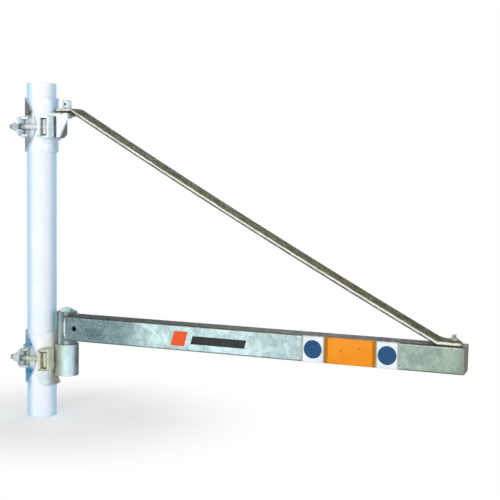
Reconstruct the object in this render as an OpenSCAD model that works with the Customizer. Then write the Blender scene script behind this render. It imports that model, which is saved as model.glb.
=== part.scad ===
// Swing jib for a small hoist, carried on a scaffold pole by two hinged half couplers.
// +Z is up, the jib points along +X and the origin is the centre of the pole's foot.

/* [Pole] */
// Outside diameter of the scaffold tube
pole_od = 48.3; // [42.4:0.1:60.3]
// Wall thickness of the scaffold tube
pole_wall = 4; // [3.2:0.1:5]
// Length of the scaffold tube
pole_len = 550; // [540:10:900]

/* [Couplers] */
// Height of the lower coupler's middle above the foot
lower_z = 100.5; // [90:0.5:120]
// Height of the upper coupler's middle above the foot
upper_z = 479; // [420:1:490]
// Height of each band
band_h = 35; // [32:1:38]
// Plate thickness of the bands, cheeks and seat plates
band_t = 3.5; // [3:0.5:4]
// Length of the saddle shells along the pole
saddle_len = 88; // [80:1:92]
// Plate thickness of the saddle shells
saddle_t = 3; // [2.5:0.5:3.5]
// Outward flare of the upper saddle's top edge
upper_lip = 1; // [0:0.5:3]
// Outward flare of the lower saddle's bottom edge
lower_lip = 3.5; // [0:0.5:4]
// Diameter of the T-bolt
bolt_d = 8; // [8:1:11]
// Diameter of the hinge rivet
rivet_d = 8; // [6:1:9]

/* [Swing pivot] */
// Distance of the swing axis from the pole's surface
swing_offset = 23.35; // [22.85:0.05:28]
// Diameter of the upper pin
pin_d = 14.7; // [12:0.1:16]
// Diameter of the hole across the upper pin
clip_hole_d = 4; // [3:0.5:5]
// Outside diameter of the lower socket
socket_od = 39; // [36:0.5:39]
// Height of the collar that lifts the tie bar's eye off the shelf
collar_h = 1.8; // [1.6:0.1:3]
// Diameter of the spigot that turns in the socket
spigot_d = 27; // [24:0.5:28]
// Outside diameter of the jib's pivot tube
pivot_od = 33.7; // [31:0.1:33.7]

/* [Jib] */
// Distance from the pole's axis to the jib's far end
reach = 702; // [500:1:900]
// Side of the square beam
beam_size = 40; // [40:1:44]
// Wall thickness of the beam
beam_wall = 3; // [2:0.5:3]
// Width of the tie bar
tie_w = 35; // [30:1:36]
// Thickness of the tie bar
tie_t = 6; // [5:0.5:8]
// How far the middle of the tie bar hangs below a straight line
tie_sag = 5; // [0:0.5:8]
// Size of the bolt at the jib's tip
tip_bolt_d = 6; // [6:1:10]

/* [Hidden] */

$fn = 96;
eps = 0.01;
far = 300;

// Gaps: seat between shaped pieces, turning fit of a pin, rest gap under a moving piece
seat_gap = 0.2;
turn_gap = 0.08;
rest_gap = 0.3;

// Radii around the pole, from the inside out, and the swing axis
pole_r = pole_od / 2;
pivot_x = pole_r + swing_offset;
saddle_ir = pole_r + seat_gap;
saddle_or = saddle_ir + saddle_t;
band_ir = saddle_or + seat_gap;
band_or = band_ir + band_t;

// Hinge of a coupler, behind the pole
rivet_r = rivet_d / 2;
knuckle_r = rivet_r + 2.5;
split_x = 6;
split_gap = 1.5;
hinge = [split_x, sqrt(pow(band_or + knuckle_r + 0.25, 2) - pow(split_x, 2))];
hinge_angle = atan2(hinge.y, hinge.x);
knuckle_gap = 0.5;
middle_h = band_h * 0.4;
rivet_head_h = 3;
rivet_head_r = rivet_r + 2.5;

// T-bolt and its nut, which cross in front of the pole
bolt_r = bolt_d / 2;
bolt_y = -(saddle_or + bolt_r + 1.65);
slot_h = bolt_d + 0.6;
head_bar_r = bolt_r + 0.5;
nut_flange_t = 2.5;
nut_h = 9.5;
nut_af = bolt_d * 1.7;
nut_flange_r = nut_af / 2 + 0.9;

// Lug on the jib's side: slotted wall, head bar behind it and an outer wall
pad_w = 37;
lug_wall_t = 4.5;
lug_side_t = 3;
wall_x = 17.5;
wall_end_y = bolt_y - bolt_r - 5;
head_x = wall_x + lug_wall_t + head_bar_r + 0.1;
head_bar_len = band_h - 2 * band_t - 4;
lug_side_x = head_x + head_bar_r + 0.4;
lug_side_end_y = bolt_y - 3;
lug_back_y = -(pad_w / 2 + 1.5);

// Forked nut seat on the flap, just clear of the band where the nut's flange reaches it
seat_x = band_t - sqrt(pow(band_or + rest_gap, 2) - pow(bolt_y + nut_flange_r, 2));
seat_end_y = bolt_y - bolt_r - 10.5;
seat_h = band_h - 4;
seat_corner_r = 12;
flap_end_x = -8;
bolt_end_x = seat_x - band_t - nut_flange_t - nut_h - 8;

// Outline of the saddle shells
flap_edge_x = 3.5;
flap_arc_r = 52;
base_corner_r = 18;
lip_h = 10;
lip_steps = 5;
upper_saddle_shift = 3.5;
lower_saddle_shift = -1.5;

// Bracket on the upper coupler
pad_x = pivot_x - pin_d / 2 - 3.15;
pad_foot_r = 28;
shelf_t = 5;
shelf_z = upper_z + band_h / 2;
shelf_top = shelf_z + shelf_t;
shelf_end_x = pivot_x + 14;
shelf_w = tie_w - 1;
shelf_corner_r = 13;
gusset_t = 5;
gusset_top_x = pivot_x + 9.5;
gusset_foot_x = pad_x + 5;
pin_top = shelf_top + 21.5;
collar_r = pin_d / 2 + 3.5;
pin_foot_h = 3;
pin_foot_r = pin_d / 2 + 0.9;
pin_chamfer = 1;
clip_z = pin_top - 6.8;

// Socket on the lower coupler
socket_top = lower_z + band_h / 2 + 6;
socket_len = 52;
socket_ir = spigot_d / 2 + turn_gap;

// Beam
beam_z = socket_top + 8;
beam_top = beam_z + beam_size;
beam_mid_z = beam_z + beam_size / 2;
beam_x = pivot_x + 6.5;
cap_t = 4;
beam_corner_r = 3;
side_hole_d = 8;
side_hole_x = pivot_x + 24.5;

// Pivot tube and spigot of the jib
pivot_r = pivot_od / 2;
tube_bottom = socket_top + rest_gap;
tube_top = beam_top + 5.5;
spigot_r = spigot_d / 2;
spigot_bottom = socket_top - socket_len + 3;
dome_h = 7.7;
dome_r = (spigot_r * spigot_r + dome_h * dome_h) / (2 * dome_h);

// Tie bar: heights of its middle surface, the two bends and the askew outer end
tie_high = shelf_top + collar_h + tie_t / 2;
tie_low = beam_top + tie_t / 2;
tie_eye_r = tie_w / 2;
tip_x = reach - 17.8;
tie_near_end = tip_x + 15.8;
tie_far_end = tip_x + 2.8;
tie_near_cut = 7;
tie_bend_x = pivot_x + 16.5;
tie_foot_x = tip_x - 20.5;
top_bend_len = 4;
foot_bend_len = 8;
tie_steps = 24;
bend_steps = 5;

// Bolt at the tip, with its head inside the beam under the top wall
tip_washer_t = 1;
tip_nut_h = 3.2;
tip_bolt_top = beam_top + tie_t + tip_washer_t + tip_nut_h + 5.3;
tip_head_h = 4;
tip_nut_af = tip_bolt_d * 1.65;

zinc = [0.78, 0.80, 0.80];
bright_zinc = [0.86, 0.87, 0.85];
dull_zinc = [0.55, 0.58, 0.57];
white_paint = [0.88, 0.92, 0.96];

// Direction of an angle in plan
function dir(a) = [cos(a), sin(a)];

// Angle at which a line touches the band and a knuckle on the same side
function tangent_angle(side) =
    hinge_angle - side * acos((band_or - knuckle_r) / norm(hinge));

// Flat ring
module ring(outer_r, inner_r) {
    difference() {
        circle(r = outer_r);
        circle(r = inner_r);
    }
}

// Slice of the plan between two angles
module sector(from, to) {
    steps = 8;
    polygon([[0, 0], for (i = [0:steps]) far * dir(from + (to - from) * i / steps)]);
}

// Tube standing on the plane
module tube(outer_r, inner_r, h) {
    difference() {
        cylinder(r = outer_r, h = h);
        translate([0, 0, -1]) cylinder(r = inner_r, h = h + 2);
    }
}

// Rectangle from one corner to the other, with round corners
module round_rect(low, high, r) {
    union() {
        translate([low.x + r, low.y]) square([high.x - low.x - 2 * r, high.y - low.y]);
        translate([low.x, low.y + r]) square([high.x - low.x, high.y - low.y - 2 * r]);
        for (x = [low.x + r, high.x - r], y = [low.y + r, high.y - r])
            translate([x, y]) circle(r = r);
    }
}

// Extrudes an XZ outline along Y, about the jib's plane
module along_y(width) {
    rotate([90, 0, 0]) linear_extrude(height = width, center = true) children();
}

// Extrudes a YZ outline along +X from x
module along_x(x, length) {
    translate([x, 0, 0]) rotate([90, 0, 90]) linear_extrude(height = length) children();
}

// ---- Coupler pieces, with their middle at z = 0 ----

// One end of a saddle's profile at radius r, flared outward by lip: side 1 is the top
function saddle_end(r, lip, side) = lip == 0
    ? [[r, side * saddle_len / 2]]
    : [for (i = [0:lip_steps])
        let (s = (side > 0 ? i : lip_steps - i) / lip_steps)
        [r + lip * s * s, side * (saddle_len / 2 - lip_h * (1 - s))]];

// Half shell on the jib's side, with round corners
module base_saddle_shell(top_lip, foot_lip) {
    inner = concat(saddle_end(saddle_ir, foot_lip, -1), saddle_end(saddle_ir, top_lip, 1));
    outer = concat(saddle_end(saddle_or, foot_lip, -1), saddle_end(saddle_or, top_lip, 1));
    last = len(outer) - 1;
    intersection() {
        rotate_extrude() polygon(concat(inner, [for (i = [last:-1:0]) outer[i]]));
        along_y(4 * band_or)
            round_rect([split_x + split_gap / 2, -saddle_len / 2], [far, saddle_len / 2],
                       base_corner_r);
    }
}

// Half shell on the flap's side, with leaf-shaped edges
module flap_saddle_shell() {
    intersection() {
        translate([0, 0, -saddle_len / 2]) tube(saddle_or, saddle_ir, saddle_len);
        along_y(4 * band_or)
            translate([flap_edge_x - flap_arc_r, 0]) circle(r = flap_arc_r);
    }
}

// Hinge arm: a knuckle and the web that meets the band at a tangent
module hinge_arm(side, h) {
    touch = dir(tangent_angle(side));
    linear_extrude(height = h, center = true) difference() {
        union() {
            polygon([[0, 0], band_or * touch, hinge + knuckle_r * touch, hinge]);
            translate(hinge) circle(r = knuckle_r);
        }
        circle(r = band_ir);
        translate(hinge) circle(r = rivet_r + seat_gap / 2);
    }
}

// Lug that holds the T-bolt's head: two cheeks, a slotted wall and an outer wall
module bolt_lug() {
    outer_x = lug_side_x + lug_side_t;
    cheek = [
        [wall_x, lug_back_y], [wall_x, wall_end_y], [wall_x + lug_wall_t + 2, wall_end_y],
        [outer_x, lug_side_end_y], [outer_x, lug_back_y]
    ];
    difference() {
        linear_extrude(height = band_h, center = true) difference() {
            polygon(cheek);
            circle(r = band_ir);
        }
        linear_extrude(height = band_h - 2 * band_t, center = true) difference() {
            translate([wall_x + lug_wall_t, -far])
                square([lug_side_x - wall_x - lug_wall_t, far]);
            circle(r = band_or);
        }
    }
}

// Half band on the jib's side, with the outer knuckles and the bolt lug
module base_band() {
    outer_h = (band_h - middle_h) / 2 - knuckle_gap;
    front_angle = -acos(wall_x / band_or);
    difference() {
        union() {
            linear_extrude(height = band_h, center = true) intersection() {
                ring(band_or, band_ir);
                sector(front_angle, hinge_angle - 1.5);
            }
            for (z = [-1, 1])
                translate([0, 0, z * (band_h - outer_h) / 2]) hinge_arm(1, outer_h);
            bolt_lug();
        }
        translate([0, bolt_y - bolt_r - 0.5, -slot_h / 2])
            cube([wall_x + lug_wall_t + eps, bolt_d + 1, slot_h]);
    }
}

// Side view of the nut seat, with rounded outer corners
module seat_outline() {
    intersection() {
        translate([seat_end_y, -seat_h / 2]) square([-seat_end_y - 0.72 * band_ir, seat_h]);
        round_rect([seat_end_y, -seat_h / 2], [0, seat_h / 2], seat_corner_r);
    }
}

// Half band on the far side, with the middle knuckle and the forked nut seat
module flap_band() {
    front_angle = 360 - acos(flap_end_x / band_or);
    rib = [
        [seat_x - band_t / 2, -0.72 * band_ir], [seat_x - band_t / 2, bolt_y - bolt_r - 1],
        [seat_x + 3, bolt_y - bolt_r - 1], [flap_end_x + 1, bolt_y + 0.5], [flap_end_x + 1, -26]
    ];
    difference() {
        union() {
            linear_extrude(height = band_h, center = true) intersection() {
                ring(band_or, band_ir);
                sector(hinge_angle + 1.5, front_angle);
            }
            hinge_arm(-1, middle_h);
            difference() {
                union() {
                    along_x(seat_x - band_t, band_t) seat_outline();
                    for (z = [-1, 1])
                        translate([0, 0, z * (seat_h - band_t) / 2])
                            linear_extrude(height = band_t, center = true) polygon(rib);
                }
                cylinder(r = band_ir, h = 2 * band_h, center = true);
            }
        }
        translate([seat_x - band_t - 1, seat_end_y - 1, -slot_h / 2])
            cube([band_t + 20, bolt_y + bolt_r + 0.5 - (seat_end_y - 1), slot_h]);
    }
}

// Rivet through the knuckles, with a low head at each end
module hinge_rivet() {
    translate([hinge.x, hinge.y, 0]) {
        cylinder(r = rivet_r, h = band_h + 2 * eps, center = true);
        for (side = [-1, 1])
            scale([1, 1, side]) translate([0, 0, band_h / 2]) {
                cylinder(r = rivet_head_r, h = rivet_head_h / 2);
                translate([0, 0, rivet_head_h / 2])
                    cylinder(r1 = rivet_head_r, r2 = rivet_head_r - 2, h = rivet_head_h / 2);
            }
    }
}

// T-bolt: upright head bar behind the slotted wall and a shank out through the flap
module t_bolt() {
    translate([head_x, bolt_y, 0]) {
        cylinder(r = head_bar_r, h = head_bar_len, center = true);
        rotate([0, -90, 0]) cylinder(r = bolt_r, h = head_x - bolt_end_x - 1);
        translate([bolt_end_x + 1 - head_x, 0, 0])
            rotate([0, -90, 0]) cylinder(r1 = bolt_r, r2 = bolt_r - 1, h = 1);
    }
}

// Hexagon nut with a round flange against the flap's seat
module flange_nut() {
    translate([seat_x - band_t, bolt_y, 0]) rotate([0, -90, 0]) difference() {
        union() {
            cylinder(r = nut_flange_r, h = nut_flange_t / 2);
            translate([0, 0, nut_flange_t / 2])
                cylinder(r1 = nut_flange_r, r2 = nut_flange_r - 0.8, h = nut_flange_t / 2);
            intersection() {
                rotate([0, 0, 30]) cylinder(d = nut_af / cos(30), h = nut_flange_t + nut_h, $fn = 6);
                translate([0, 0, nut_flange_t + nut_h - nut_af])
                    cylinder(r1 = 1.5 * nut_af, r2 = nut_af / 2 + 0.2, h = nut_af);
            }
        }
        translate([0, 0, -1]) cylinder(r = bolt_r + seat_gap / 2, h = nut_flange_t + nut_h + 2);
    }
}

// ---- Fixed pieces ----

module pole() {
    color(white_paint) tube(pole_r, pole_r - pole_wall, pole_len);
}

module upper_base_saddle() {
    color(zinc) translate([0, 0, upper_z + upper_saddle_shift]) base_saddle_shell(upper_lip, 0);
}

module upper_flap_saddle() {
    color(zinc) translate([0, 0, upper_z + upper_saddle_shift]) flap_saddle_shell();
}

module upper_base() {
    color(bright_zinc) translate([0, 0, upper_z]) base_band();
}

module upper_flap() {
    color(bright_zinc) translate([0, 0, upper_z]) flap_band();
}

module upper_hinge_rivet() {
    color(dull_zinc) translate([0, 0, upper_z]) hinge_rivet();
}

module upper_t_bolt() {
    color(bright_zinc) translate([0, 0, upper_z]) t_bolt();
}

module upper_nut() {
    color(dull_zinc) translate([0, 0, upper_z]) flange_nut();
}

module lower_base_saddle() {
    color(zinc) translate([0, 0, lower_z + lower_saddle_shift]) base_saddle_shell(0, lower_lip);
}

module lower_flap_saddle() {
    color(zinc) translate([0, 0, lower_z + lower_saddle_shift]) flap_saddle_shell();
}

// The lower band is cut round the socket, which is welded into the cut
module lower_base() {
    color(bright_zinc) difference() {
        translate([0, 0, lower_z]) base_band();
        translate([pivot_x, 0, 0]) cylinder(r = socket_od / 2 + seat_gap, h = socket_top + 1);
    }
}

module lower_flap() {
    color(bright_zinc) translate([0, 0, lower_z]) flap_band();
}

module lower_hinge_rivet() {
    color(dull_zinc) translate([0, 0, lower_z]) hinge_rivet();
}

module lower_t_bolt() {
    color(bright_zinc) translate([0, 0, lower_z]) t_bolt();
}

module lower_nut() {
    color(dull_zinc) translate([0, 0, lower_z]) flange_nut();
}

// Plate welded to the upper band, with a round foot
module bracket_pad() {
    low = upper_z - band_h / 2;
    color(dull_zinc) difference() {
        along_x(band_or - 3, pad_x - band_or + 3) intersection() {
            translate([-pad_w / 2, low]) square([pad_w, band_h]);
            translate([0, low + pad_foot_r]) circle(r = pad_foot_r);
        }
        cylinder(r = band_or + seat_gap, h = shelf_z + 1);
    }
}

// Plan of the shelf before its holes, round at its two outer corners
module shelf_plan() {
    intersection() {
        round_rect([-far, -shelf_w / 2], [shelf_end_x, shelf_w / 2], shelf_corner_r);
        translate([saddle_or / 2, -far / 2]) square(far);
    }
}

// Shelf that carries the pin, cut round the saddle shell
module bracket_shelf() {
    color(zinc) translate([0, 0, shelf_z]) linear_extrude(height = shelf_t) difference() {
        shelf_plan();
        circle(r = saddle_or + seat_gap);
        translate([pivot_x, 0]) circle(d = pin_d + seat_gap);
    }
}

// Triangular rib under the shelf's near edge, trimmed to the shelf's round corner
module bracket_gusset() {
    foot_z = upper_z - band_h / 2 + 1;
    color(bright_zinc) intersection() {
        translate([0, (gusset_t - shelf_w) / 2, 0]) along_y(gusset_t)
            polygon([
                [pad_x, foot_z], [gusset_foot_x, foot_z], [gusset_top_x, shelf_z - 3],
                [gusset_top_x, shelf_z], [pad_x, shelf_z]
            ]);
        translate([0, 0, foot_z - 1]) linear_extrude(height = band_h) shelf_plan();
    }
}

// Upright pin with a cross hole for a clip, a foot under the shelf and a collar on it
module top_pin() {
    color(zinc) translate([pivot_x, 0, 0]) difference() {
        union() {
            translate([0, 0, shelf_z - pin_foot_h]) cylinder(r = pin_foot_r, h = pin_foot_h);
            translate([0, 0, shelf_z - eps])
                cylinder(d = pin_d, h = pin_top - pin_chamfer - shelf_z + eps);
            translate([0, 0, shelf_top]) cylinder(r = collar_r, h = collar_h);
            translate([0, 0, pin_top - pin_chamfer])
                cylinder(d1 = pin_d, d2 = pin_d - 2 * pin_chamfer, h = pin_chamfer);
        }
        translate([0, 0, clip_z]) rotate([90, 0, 0])
            cylinder(d = clip_hole_d, h = 2 * pin_d, center = true);
    }
}

module socket() {
    color(zinc) translate([pivot_x, 0, socket_top - socket_len])
        tube(socket_od / 2, socket_ir, socket_len);
}

// ---- Moving pieces ----

// Square tube with a fish-mouth for the pivot tube, a side hole and the tip bolt's hole
module beam() {
    half = beam_size / 2;
    color(dull_zinc) difference() {
        along_x(beam_x, reach - cap_t - beam_x) difference() {
            round_rect([-half, beam_z], [half, beam_top], beam_corner_r);
            translate([-half + beam_wall, beam_z + beam_wall])
                square(beam_size - 2 * beam_wall);
        }
        translate([pivot_x, 0, beam_z - 1])
            cylinder(r = pivot_r + seat_gap / 2, h = beam_size + 2);
        translate([side_hole_x, 0, beam_mid_z + 1]) rotate([90, 0, 0])
            cylinder(d = side_hole_d, h = beam_size + 2, center = true);
        translate([tip_x, 0, beam_mid_z])
            cylinder(d = tip_bolt_d + seat_gap, h = beam_size);
    }
}

// Plate that closes the beam's far end
module end_cap() {
    half = beam_size / 2;
    color(dull_zinc) along_x(reach - cap_t, cap_t)
        round_rect([-half, beam_z], [half, beam_top], beam_corner_r);
}

module pivot_tube() {
    color(dull_zinc) translate([pivot_x, 0, tube_bottom])
        tube(pivot_r, spigot_r + seat_gap, tube_top - tube_bottom);
}

// Solid spigot with a domed head standing on the pivot tube's rim
module spigot() {
    color(zinc) translate([pivot_x, 0, 0]) {
        translate([0, 0, spigot_bottom + 2])
            cylinder(r = spigot_r, h = tube_top - spigot_bottom - 2 + eps);
        translate([0, 0, spigot_bottom])
            cylinder(r1 = spigot_r - 2, r2 = spigot_r, h = 2);
        translate([0, 0, tube_top + dome_h - dome_r]) intersection() {
            sphere(r = dome_r);
            translate([0, 0, dome_r - dome_h]) cylinder(r = spigot_r, h = dome_h + 1);
        }
    }
}

// Sagging middle line of the tie bar at x
function tie_run(x) =
    let (t = (x - tie_bend_x) / (tie_foot_x - tie_bend_x))
    tie_high + (tie_low - tie_high) * t - 4 * tie_sag * t * (1 - t);

// Smooth bends: from level at the pin into the run, and from the run to level at the tip
function top_bend(s) =
    let (x = tie_bend_x + top_bend_len * (2 * s - 1), end_x = tie_bend_x + top_bend_len)
    [x, tie_high + (tie_run(end_x) - tie_high) * s * s];
function foot_bend(s) =
    let (x = tie_foot_x + foot_bend_len * (2 * s - 1), start_x = tie_foot_x - foot_bend_len)
    [x, tie_low + (tie_run(start_x) - tie_low) * (1 - s) * (1 - s)];
run_from = tie_bend_x + top_bend_len;
run_to = tie_foot_x - foot_bend_len;
tie_line = concat(
    [[pivot_x - tie_eye_r, tie_high]],
    [for (i = [0:bend_steps - 1]) top_bend(i / bend_steps)],
    [for (i = [0:tie_steps])
        let (x = run_from + (run_to - run_from) * i / tie_steps) [x, tie_run(x)]],
    [for (i = [1:bend_steps]) foot_bend(i / bend_steps)],
    [[tip_x + tie_eye_r, tie_low]]
);

// Unit vector across a line of points at one of them
function across(line, i) =
    let (a = line[max(i - 1, 0)], b = line[min(i + 1, len(line) - 1)], d = (b - a) / norm(b - a))
    [-d.y, d.x];

// Flat bar bent down from the pin to the beam, round at the pin and cut askew at the tip
module tie_bar() {
    last = len(tie_line) - 1;
    half = tie_w / 2;
    upper_side = [for (i = [0:last]) tie_line[i] + tie_t / 2 * across(tie_line, i)];
    lower_side = [for (i = [last:-1:0]) tie_line[i] - tie_t / 2 * across(tie_line, i)];
    plan = [
        [pivot_x, -half], [tie_near_end - tie_near_cut, -half],
        [tie_near_end - tie_near_cut * 0.3, -half + tie_near_cut * 0.3],
        [tie_near_end - tie_near_cut * 0.25, -half + tie_near_cut],
        [tie_far_end, half], [pivot_x, half]
    ];
    color(dull_zinc) difference() {
        intersection() {
            along_y(tie_w) polygon(concat(upper_side, lower_side));
            linear_extrude(height = tie_high + tie_t) union() {
                translate([pivot_x, 0]) circle(r = tie_eye_r);
                polygon(plan);
            }
        }
        translate([pivot_x, 0, tie_high - tie_t]) cylinder(r = pin_d / 2 + turn_gap, h = 2 * tie_t);
        translate([tip_x, 0, tie_low - tie_t]) cylinder(d = tip_bolt_d + seat_gap, h = 2 * tie_t);
    }
}

// Bolt up through the beam's top wall, with its head inside the beam and a round end
module tip_bolt() {
    head_top = beam_top - beam_wall;
    end_h = tip_bolt_d / 6;
    color(bright_zinc) translate([tip_x, 0, 0]) {
        translate([0, 0, head_top - tip_head_h])
            cylinder(d = tip_nut_af / cos(30), h = tip_head_h, $fn = 6);
        translate([0, 0, head_top - eps])
            cylinder(d = tip_bolt_d, h = tip_bolt_top - end_h - head_top + eps);
        translate([0, 0, tip_bolt_top - end_h])
            cylinder(d1 = tip_bolt_d, d2 = tip_bolt_d * 0.6, h = end_h);
    }
}

module tip_washer() {
    color(bright_zinc) translate([tip_x, 0, beam_top + tie_t])
        tube(tip_bolt_d, tip_bolt_d / 2 + seat_gap, tip_washer_t);
}

module tip_nut() {
    color(bright_zinc) translate([tip_x, 0, beam_top + tie_t + tip_washer_t]) difference() {
        cylinder(d = tip_nut_af / cos(30), h = tip_nut_h, $fn = 6);
        translate([0, 0, -1]) cylinder(d = tip_bolt_d + seat_gap, h = tip_nut_h + 2);
    }
}

pole();
upper_base_saddle();
upper_flap_saddle();
upper_base();
upper_flap();
upper_hinge_rivet();
upper_t_bolt();
upper_nut();
lower_base_saddle();
lower_flap_saddle();
lower_base();
lower_flap();
lower_hinge_rivet();
lower_t_bolt();
lower_nut();
bracket_pad();
bracket_shelf();
bracket_gusset();
top_pin();
socket();
beam();
end_cap();
pivot_tube();
spigot();
tie_bar();
tip_bolt();
tip_washer();
tip_nut();
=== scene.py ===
"""Looks for the scaffold-pole swing jib: camera, light, finishes, welds, threads and the coloured panel."""

import math
import random

import bpy
from mathutils import Matrix, Vector


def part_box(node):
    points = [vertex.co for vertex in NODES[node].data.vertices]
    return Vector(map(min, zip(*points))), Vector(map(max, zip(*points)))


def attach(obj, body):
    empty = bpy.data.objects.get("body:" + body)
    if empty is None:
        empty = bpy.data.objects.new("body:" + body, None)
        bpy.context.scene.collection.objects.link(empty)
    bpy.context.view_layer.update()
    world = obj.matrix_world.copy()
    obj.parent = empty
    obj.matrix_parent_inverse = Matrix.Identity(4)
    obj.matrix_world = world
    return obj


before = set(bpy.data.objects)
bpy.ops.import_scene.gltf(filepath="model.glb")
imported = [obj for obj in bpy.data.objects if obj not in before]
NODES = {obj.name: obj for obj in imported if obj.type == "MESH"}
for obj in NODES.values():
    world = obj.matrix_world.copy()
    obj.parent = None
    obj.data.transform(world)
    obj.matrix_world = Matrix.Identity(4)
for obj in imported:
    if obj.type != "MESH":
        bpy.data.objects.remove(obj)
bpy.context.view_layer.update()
MM = 0.001
SIDES = (("near", -1), ("far", 1))  # the jib's two sides, with the sign of their Y
random.seed(7)


def middle(node, axis):
    """Middle of a CAD node's box along x, y or z, in metres."""
    low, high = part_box(node)
    return (getattr(low, axis) + getattr(high, axis)) / 2


# ---------------------------------------------------------------- camera, light and stage

# Lamps by name: place in metres, size in metres, power in watts, tint.
LAMPS = {
    "key": ((0.1, -3.2, 1.0), 1.8, 58, (1.0, 0.99, 0.98)),
    "fill_left": ((-3.0, -1.4, 0.9), 2.0, 9, (0.94, 0.98, 1.0)),
    "fill_right": ((3.2, -1.4, 1.2), 2.0, 21, (0.96, 0.98, 1.0)),
    "fill_back": ((0.2, 3.2, 1.6), 2.4, 40, (0.97, 0.99, 1.0)),
    "top": ((0.4, -0.3, 3.2), 2.4, 12, (1.0, 1.0, 1.0)),
}
LAMP_TARGET = Vector((0.3, 0.0, 0.25))


def aim_camera():
    """Camera 1.5 m off the near side, a little past the jib's tip, looking back and slightly down."""
    place = Vector((0.9216, -1.4921, 0.4382))
    yaw, pitch, roll = (math.radians(a) for a in (-20.354, 5.17, 0.962))
    forward = Vector((math.sin(yaw) * math.cos(pitch), math.cos(yaw) * math.cos(pitch), -math.sin(pitch)))
    right = Vector((math.cos(yaw), -math.sin(yaw), 0.0))
    up = right.cross(forward)
    side = math.cos(roll) * right + math.sin(roll) * up
    top = math.cos(roll) * up - math.sin(roll) * right
    data = bpy.data.cameras.new("camera")
    data.lens = 74.93
    data.sensor_width = 36.0
    data.clip_end = 60.0
    camera = bpy.data.objects.new("camera", data)
    turn = Matrix((side, top, -forward)).transposed()
    camera.matrix_world = Matrix.Translation(place) @ turn.to_4x4()
    bpy.context.scene.collection.objects.link(camera)
    bpy.context.scene.camera = camera


def area_light(name, place, size, power, tint):
    """Soft square lamp that faces the middle of the jib."""
    data = bpy.data.lights.new(name, "AREA")
    data.size = size
    data.energy = power
    data.color = tint
    lamp = bpy.data.objects.new(name, data)
    lamp.location = place
    lamp.rotation_euler = (LAMP_TARGET - Vector(place)).to_track_quat("-Z", "Y").to_euler()
    bpy.context.scene.collection.objects.link(lamp)


def combine(tree, operation, a, b):
    """One value from two, by a Math node."""
    node = tree.nodes.new("ShaderNodeMath")
    node.operation = operation
    tree.links.new(a, node.inputs[0])
    tree.links.new(b, node.inputs[1])
    return node.outputs[0]


def mix_shaders(tree, amount, first, second):
    """The first shader where amount is 0, the second where it is 1."""
    node = tree.nodes.new("ShaderNodeMixShader")
    for socket, value in zip(node.inputs, (amount, first, second)):
        tree.links.new(value, socket)
    return node.outputs[0]


def background(tree, colour, strength):
    """World light of one colour."""
    node = tree.nodes.new("ShaderNodeBackground")
    node.inputs["Color"].default_value = (*colour, 1)
    node.inputs["Strength"].default_value = strength
    return node.outputs[0]


def light_studio():
    """Broad frontal light, weaker fills all round and a white world seen by camera, gloss and glass."""
    for name, lamp in LAMPS.items():
        area_light(name, *lamp)
    world = bpy.data.worlds.new("studio")
    bpy.context.scene.world = world
    world.use_nodes = True
    tree = world.node_tree
    tree.nodes.clear()
    rays = tree.nodes.new("ShaderNodeLightPath").outputs
    seen = combine(tree, "MAXIMUM", rays["Is Camera Ray"], rays["Is Glossy Ray"])
    seen = combine(tree, "MAXIMUM", seen, rays["Is Transmission Ray"])
    dim = background(tree, (0.93, 0.96, 1.0), 0.30)
    white = background(tree, (1, 1, 1), 1.0)
    out = tree.nodes.new("ShaderNodeOutputWorld")
    tree.links.new(mix_shaders(tree, seen, dim, white), out.inputs["Surface"])


def floor_material():
    """Pale matt floor that keeps the shadow near the object and glows white further out."""
    fade_start, fade_end, least_glow = 0.08, 0.34, 0.45
    material = bpy.data.materials.new("floor")
    material.use_nodes = True
    tree = material.node_tree
    tree.nodes.clear()
    paint = tree.nodes.new("ShaderNodeBsdfDiffuse")
    paint.inputs["Color"].default_value = (0.93, 0.93, 0.93, 1)
    glow = tree.nodes.new("ShaderNodeEmission")
    glow.inputs["Strength"].default_value = 1.0
    place = tree.nodes.new("ShaderNodeTexCoord")
    distance = tree.nodes.new("ShaderNodeVectorMath")
    distance.operation = "DISTANCE"
    distance.inputs[1].default_value = (0.05, 0, 0)
    tree.links.new(place.outputs["Object"], distance.inputs[0])
    fade = tree.nodes.new("ShaderNodeMapRange")
    fade.interpolation_type = "SMOOTHSTEP"
    for socket, number in (("From Min", fade_start), ("From Max", fade_end), ("To Min", least_glow)):
        fade.inputs[socket].default_value = number
    tree.links.new(distance.outputs["Value"], fade.inputs["Value"])
    rays = tree.nodes.new("ShaderNodeLightPath").outputs
    seen = combine(tree, "MAXIMUM", rays["Is Camera Ray"], rays["Is Glossy Ray"])
    amount = combine(tree, "MULTIPLY", fade.outputs["Result"], seen)
    out = tree.nodes.new("ShaderNodeOutputMaterial")
    tree.links.new(mix_shaders(tree, amount, paint.outputs[0], glow.outputs[0]), out.inputs["Surface"])
    return material


def lay_floor():
    """Wide level floor under the pole's foot."""
    half = 14.0
    corners = [(-half, -half, 0), (half, -half, 0), (half, half, 0), (-half, half, 0)]
    mesh = bpy.data.meshes.new("floor")
    mesh.from_pydata(corners, [], [(0, 1, 2, 3)])
    mesh.materials.append(floor_material())
    floor = bpy.data.objects.new("floor", mesh)
    bpy.context.scene.collection.objects.link(floor)


# ---------------------------------------------------------------- finishes

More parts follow.
